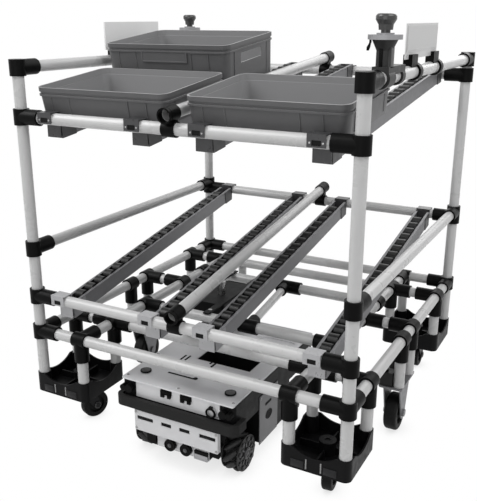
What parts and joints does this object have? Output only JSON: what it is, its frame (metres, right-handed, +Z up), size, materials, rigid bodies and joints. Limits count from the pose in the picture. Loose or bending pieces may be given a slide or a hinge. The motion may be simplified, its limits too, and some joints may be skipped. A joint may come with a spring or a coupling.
{
  "type": "autonomous mobile robot",
  "caption": "Low mobile robot on mecanum wheels, docked under a wheeled pipe flow rack with sloped roller lanes, totes, sign plates and emergency stops.",
  "frame": {"origin": "on the floor, under the middle of the bounding box", "axes": "+Z up; X across the rack; -Y is the loading side that the robot leaves by"},
  "size_m": [0.916, 0.9226, 1.0673],
  "materials": {
    "pipe": "smooth coated pipe, satin",
    "joint": "moulded, fine grain",
    "base": "moulded, fine grain",
    "caster_steel": "zinc plated",
    "drive_wheel": "moulded rollers on a plated hub",
    "caster_wheel": "rubber tread on a nylon hub",
    "track": "rolled galvanised sheet",
    "roller": "moulded",
    "bracket": "bent plated sheet",
    "end_cap": "bent galvanised sheet",
    "tote": "moulded polypropylene",
    "stop_body": "moulded",
    "stop_head": "polished mushroom",
    "sign": "flat sheet, bare",
    "chassis": "powder coated",
    "deck": "satin sheet",
    "pad": "moulded",
    "well": "powder coated",
    "panel": "satin silver",
    "bumper": "foam with a tough skin",
    "fitting": "moulded",
    "motor": "anodised can",
    "battery": "moulded case",
    "dock": "powder coated",
    "dock_pin": "ground steel"
  },
  "bodies": {
    "rack": {"base_joints": "joint", "base_pipes": "pipe", "corner_posts": "pipe", "deck_rails": "pipe", "dock_housing": "dock", "front_left_base": "base", "front_right_base": "base", "guide_joints": "joint", "guide_pipes": "pipe", "left_stop_base": "stop_body", "leg_pipes": "pipe", "lower_left_channels": "track", "lower_left_rollers": "roller", "lower_right_channels": "track", "lower_right_rollers": "roller", "mid_brackets": "caster_steel", "post_joints": "joint", "rear_left_base": "base", "rear_right_base": "base", "right_stop_base": "stop_body", "side_rails": "pipe", "sign_clips": "joint", "sign_plates": "sign", "top_joints": "joint", "track_brackets": "bracket", "track_end_caps": "end_cap", "upper_left_channels": "track", "upper_left_rollers": "roller", "upper_right_channels": "track", "upper_right_rollers": "roller"},
    "robot": {"robot_chassis": "chassis", "robot_deck": "deck", "deck_pads": "pad", "deck_well": "well", "front_panels": "panel", "side_panels": "panel", "front_fittings": "fitting", "drive_motors": "motor", "battery_pack": "battery"},
    "bumper": {"bumper": "bumper"},
    "dock_pin": {"dock_pin": "dock_pin"},
    "front_left_caster": {"front_left_fork": "caster_steel"},
    "front_left_caster_wheel": {"front_left_wheel": "caster_wheel"},
    "front_right_caster": {"front_right_fork": "caster_steel"},
    "front_right_caster_wheel": {"front_right_wheel": "caster_wheel"},
    "rear_left_caster": {"rear_left_fork": "caster_steel"},
    "rear_left_caster_wheel": {"rear_left_wheel": "caster_wheel"},
    "rear_right_caster": {"rear_right_fork": "caster_steel"},
    "rear_right_caster_wheel": {"rear_right_wheel": "caster_wheel"},
    "left_mid_wheel": {"left_mid_wheel": "caster_wheel"},
    "right_mid_wheel": {"right_mid_wheel": "caster_wheel"},
    "front_left_drive": {"front_left_drive_wheel": "drive_wheel"},
    "front_right_drive": {"front_right_drive_wheel": "drive_wheel"},
    "rear_left_drive": {"rear_left_drive_wheel": "drive_wheel"},
    "rear_right_drive": {"rear_right_drive_wheel": "drive_wheel"},
    "right_stop_head": {"right_stop_head": "stop_head"},
    "left_stop_head": {"left_stop_head": "stop_head"},
    "front_left_tote": {"front_left_tote": "tote"},
    "front_right_tote": {"front_right_tote": "tote"},
    "rear_left_tote": {"rear_left_tote": "tote"}
  },
  "joints": [
    {"name": "front_left_swivel", "type": "hinge", "parent": "rack", "child": "front_left_caster", "pos_m": [-0.358, -0.367, 0.1], "axis": [0, 0, 1], "continuous": true},
    {"name": "front_left_roll", "type": "hinge", "parent": "front_left_caster", "child": "front_left_caster_wheel", "pos_m": [-0.34637, -0.33505, 0.0375], "axis": [0.9397, -0.342, 0], "continuous": true},
    {"name": "front_right_swivel", "type": "hinge", "parent": "rack", "child": "front_right_caster", "pos_m": [0.358, -0.367, 0.1], "axis": [0, 0, 1], "continuous": true},
    {"name": "front_right_roll", "type": "hinge", "parent": "front_right_caster", "child": "front_right_caster_wheel", "pos_m": [0.35504, -0.33313, 0.0375], "axis": [0.9962, 0.0872, 0], "continuous": true},
    {"name": "rear_left_swivel", "type": "hinge", "parent": "rack", "child": "rear_left_caster", "pos_m": [-0.358, 0.367, 0.1], "axis": [0, 0, 1], "continuous": true},
    {"name": "rear_left_roll", "type": "hinge", "parent": "rear_left_caster", "child": "rear_left_caster_wheel", "pos_m": [-0.358, 0.401, 0.0375], "axis": [1, 0, 0], "continuous": true},
    {"name": "rear_right_swivel", "type": "hinge", "parent": "rack", "child": "rear_right_caster", "pos_m": [0.358, 0.367, 0.1], "axis": [0, 0, 1], "continuous": true},
    {"name": "rear_right_roll", "type": "hinge", "parent": "rear_right_caster", "child": "rear_right_caster_wheel", "pos_m": [0.358, 0.401, 0.0375], "axis": [1, 0, 0], "continuous": true},
    {"name": "left_mid_roll", "type": "hinge", "parent": "rack", "child": "left_mid_wheel", "pos_m": [-0.407, 0, 0.05], "axis": [1, 0, 0], "continuous": true},
    {"name": "right_mid_roll", "type": "hinge", "parent": "rack", "child": "right_mid_wheel", "pos_m": [0.407, 0, 0.05], "axis": [1, 0, 0], "continuous": true},
    {"name": "front_left_drive_spin", "type": "hinge", "parent": "robot", "child": "front_left_drive", "pos_m": [-0.126, -0.365, 0.048], "axis": [1, 0, 0], "continuous": true},
    {"name": "front_right_drive_spin", "type": "hinge", "parent": "robot", "child": "front_right_drive", "pos_m": [0.126, -0.365, 0.048], "axis": [1, 0, 0], "continuous": true},
    {"name": "rear_left_drive_spin", "type": "hinge", "parent": "robot", "child": "rear_left_drive", "pos_m": [-0.126, -0.086, 0.048], "axis": [1, 0, 0], "continuous": true},
    {"name": "rear_right_drive_spin", "type": "hinge", "parent": "robot", "child": "rear_right_drive", "pos_m": [0.126, -0.086, 0.048], "axis": [1, 0, 0], "continuous": true},
    {"name": "robot_undock", "type": "slide", "parent": "rack", "child": "robot", "axis": [0, -1, 0], "range_m": [0, 0.5]},
    {"name": "bumper_press", "type": "slide", "parent": "robot", "child": "bumper", "axis": [0, 1, 0], "range_m": [0, 0.004], "stiffness_N_per_m": 3000},
    {"name": "dock_pin_drop", "type": "slide", "parent": "rack", "child": "dock_pin", "axis": [0, 0, -1], "range_m": [0, 0.022]},
    {"name": "right_stop_press", "type": "slide", "parent": "rack", "child": "right_stop_head", "axis": [0, 0, -1], "range_m": [0, 0.005], "stiffness_N_per_m": 4000},
    {"name": "left_stop_press", "type": "slide", "parent": "rack", "child": "left_stop_head", "axis": [0, 0, -1], "range_m": [0, 0.005], "stiffness_N_per_m": 4000},
    {"name": "front_left_tote_lift", "type": "slide", "parent": "rack", "child": "front_left_tote", "axis": [0, 0, 1], "range_m": [0, 0.25]},
    {"name": "front_right_tote_roll", "type": "slide", "parent": "rack", "child": "front_right_tote", "axis": [0, 0.9932, 0.1161], "range_m": [0, 0.5]},
    {"name": "rear_left_tote_roll", "type": "slide", "parent": "rack", "child": "rear_left_tote", "axis": [0, 0.9932, 0.1161], "range_m": [0, 0.25]}
  ]
}
